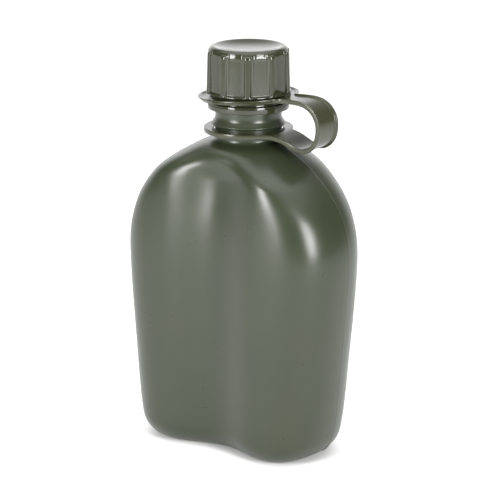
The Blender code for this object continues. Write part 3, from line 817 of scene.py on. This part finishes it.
# ================================================================= materials
def plastic(name, colour, tint, roughness, spread, fine, wave, fine_scale, wave_scale, spec=0.5,
            coat=0.0):
    """Moulded plastic: faint colour drift, uneven gloss, fine grain and slow waviness."""
    m = bpy.data.materials.new(name)
    m.use_nodes = True
    nt = m.node_tree
    b = nt.nodes["Principled BSDF"]
    tc = nt.nodes.new("ShaderNodeTexCoord")

    def noise(scale, detail=4.0, rough=0.55):
        n = nt.nodes.new("ShaderNodeTexNoise")
        n.inputs["Scale"].default_value = scale
        n.inputs["Detail"].default_value = detail
        n.inputs["Roughness"].default_value = rough
        nt.links.new(tc.outputs["Object"], n.inputs["Vector"])
        return n
    drift = noise(28.0, 5.0)
    ramp = nt.nodes.new("ShaderNodeValToRGB")
    ramp.color_ramp.elements[0].position, ramp.color_ramp.elements[1].position = 0.3, 0.7
    ramp.color_ramp.elements[0].color = (*colour, 1)
    ramp.color_ramp.elements[1].color = (*tint, 1)
    nt.links.new(drift.outputs["Fac"], ramp.inputs["Fac"])
    nt.links.new(ramp.outputs["Color"], b.inputs["Base Color"])
    gloss = noise(90.0, 6.0, 0.6)
    rr = nt.nodes.new("ShaderNodeMapRange")
    rr.inputs["From Min"].default_value, rr.inputs["From Max"].default_value = 0.3, 0.7
    rr.inputs["To Min"].default_value = roughness - spread
    rr.inputs["To Max"].default_value = roughness + spread
    nt.links.new(gloss.outputs["Fac"], rr.inputs["Value"])
    nt.links.new(rr.outputs["Result"], b.inputs["Roughness"])
    b.inputs["Specular IOR Level"].default_value = spec
    b.inputs["IOR"].default_value = 1.5
    if coat:
        b.inputs["Coat Weight"].default_value = coat
        b.inputs["Coat Roughness"].default_value = 0.08
    slow, grain = noise(wave_scale, 2.0), noise(fine_scale, 3.0)
    b1 = nt.nodes.new("ShaderNodeBump")
    b1.inputs["Strength"].default_value = 1.0
    b1.inputs["Distance"].default_value = wave * MM
    nt.links.new(slow.outputs["Fac"], b1.inputs["Height"])
    b2 = nt.nodes.new("ShaderNodeBump")
    b2.inputs["Strength"].default_value = 1.0
    b2.inputs["Distance"].default_value = fine * MM
    nt.links.new(grain.outputs["Fac"], b2.inputs["Height"])
    nt.links.new(b1.outputs["Normal"], b2.inputs["Normal"])
    nt.links.new(b2.outputs["Normal"], b.inputs["Normal"])
    return m


BODY = plastic("bottle_polyethylene", (0.020, 0.027, 0.0135), (0.023, 0.029, 0.0145), 0.30, 0.03,
               0.009, 0.02, 1300.0, 30.0)
CAP = plastic("cap_plastic", (0.021, 0.024, 0.0115), (0.023, 0.026, 0.0125), 0.11, 0.02,
              0.004, 0.04, 1800.0, 60.0)
STRAP = plastic("strap_plastic", (0.026, 0.029, 0.014), (0.030, 0.031, 0.015), 0.24, 0.04,
                0.005, 0.05, 1600.0, 50.0)
RUBBER = plastic("gasket_rubber", (0.022, 0.022, 0.022), (0.032, 0.032, 0.031), 0.6, 0.06,
                 0.01, 0.02, 1500.0, 120.0)

bottle = make_bottle()
bottle.data.materials.append(BODY)
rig.ride(bottle, "flask")
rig.replaces(bottle, "bottle")
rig.slot(bottle, "bottle")

cap = make_cap()
cap.data.materials.append(CAP)
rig.ride(cap, "cap")
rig.replaces(cap, "screw_cap")
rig.slot(cap, "cap")

gasket = make_gasket()
gasket.data.materials.append(RUBBER)
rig.ride(gasket, "gasket")
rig.replaces(gasket, "cap_gasket")
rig.slot(gasket, "gasket")

lower, upper = make_strap()
for ob in (lower, upper):
    ob.data.materials.append(STRAP)
    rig.slot(ob, "strap")
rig.blend(lower, "neck_ring", "strap_bend", start=(0.0246, 0, 0.1708), end=(0.0455, 0, 0.1708))
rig.replaces(lower, "strap_neck_ring", "strap_band")
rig.blend(upper, "strap_bend", "cap_ring", start=(0.0455, 0, 0.1894), end=(0.0265, 0, 0.1894))
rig.replaces(upper, "strap_cap_ring", "strap_band")

# ====================================================================== stage
AZ, EL, DIST = math.radians(37.09), math.radians(15.19), 1.44118
BACK = Vector((math.sin(AZ) * math.cos(EL), -math.cos(AZ) * math.cos(EL), math.sin(EL)))
RIGHT = Vector((math.cos(AZ), math.sin(AZ), 0))
AIM = Vector((0, 0, 0.104441)) + RIGHT * 0.000775
cam = bpy.data.objects.new("camera", bpy.data.cameras.new("camera"))
scene.collection.objects.link(cam)
cam.data.sensor_width = 36.0
cam.data.lens = 2710.55 * 36.0 / 500.0
cam.data.clip_start, cam.data.clip_end = 0.05, 60.0
cam.location = AIM + BACK * DIST
cam.rotation_mode = 'QUATERNION'
cam.rotation_quaternion = (-BACK).to_track_quat('-Z', 'Y')
scene.camera = cam

floor = bpy.data.objects.new("floor", bpy.data.meshes.new("floor"))
scene.collection.objects.link(floor)
fb = bmesh.new()
bmesh.ops.create_circle(fb, cap_ends=True, radius=7.0, segments=96)
fb.to_mesh(floor.data)
fb.free()
floor.location = (0, 0, -0.0003)
fm = bpy.data.materials.new("floor")
fm.use_nodes = True
pb = fm.node_tree.nodes["Principled BSDF"]
pb.inputs["Base Color"].default_value = (0.93, 0.93, 0.93, 1)
pb.inputs["Roughness"].default_value = 0.9
pb.inputs["Specular IOR Level"].default_value = 0.2
floor.data.materials.append(fm)
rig.stage(floor)


def strip_light(name, azimuth, width, low, high, radiance, distance=1.3):
    """Upright diffuser between two heights; azimuth is measured from the camera."""
    a = AZ + math.radians(azimuth)
    d = Vector((math.sin(a), -math.cos(a), 0))
    data = bpy.data.lights.new(name, 'AREA')
    data.shape = 'RECTANGLE'
    data.size, data.size_y = width, high - low
    data.energy = radiance * math.pi * width * (high - low)
    ob = bpy.data.objects.new(name, data)
    scene.collection.objects.link(ob)
    ob.location = d * distance + Vector((0, 0, (low + high) / 2))
    ob.rotation_mode = 'QUATERNION'
    ob.rotation_quaternion = (-d).to_track_quat('-Z', 'Y')
    return ob


strip_light("key_left", -50, 0.44, 0.18, 0.84, 22.0)
strip_light("key_right", 35, 0.48, 0.18, 0.84, 22.5)

world = bpy.data.worlds.new("studio")
scene.world = world
world.use_nodes = True
wn = world.node_tree
bg = wn.nodes["Background"]
tc = wn.nodes.new("ShaderNodeTexCoord")


def toward(direction, start, stop, strength):
    """Brightness that grows with the cosine between a direction and the one given."""
    dot = wn.nodes.new("ShaderNodeVectorMath")
    dot.operation = 'DOT_PRODUCT'
    dot.inputs[1].default_value = direction
    wn.links.new(tc.outputs["Generated"], dot.inputs[0])
    ramp = wn.nodes.new("ShaderNodeMapRange")
    ramp.interpolation_type = 'SMOOTHSTEP'
    ramp.inputs["From Min"].default_value = start
    ramp.inputs["From Max"].default_value = stop
    ramp.inputs["To Min"].default_value = 0.0
    ramp.inputs["To Max"].default_value = strength
    wn.links.new(dot.outputs["Value"], ramp.inputs["Value"])
    return ramp.outputs["Result"]


def plus(a, b):
    n = wn.nodes.new("ShaderNodeMath")
    n.operation = 'ADD'
    for k, v in ((0, a), (1, b)):
        if isinstance(v, float):
            n.inputs[k].default_value = v
        else:
            wn.links.new(v, n.inputs[k])
    return n.outputs[0]


wn.links.new(plus(plus(toward(-BACK, 0.45, 0.90, 1.6), toward(Vector((0, 0, 1)), 0.55, 0.97, 2.4)),
                  0.16), bg.inputs["Strength"])
bg.inputs["Color"].default_value = (1.0, 1.0, 1.0, 1)

scene.view_settings.view_transform = 'Standard'
scene.view_settings.look = 'None'

with open("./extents.json", "w") as f:
    json.dump({"cad_box": CAD_BOX, "visual_box": [list(map(float, v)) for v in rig.bounds()]}, f)
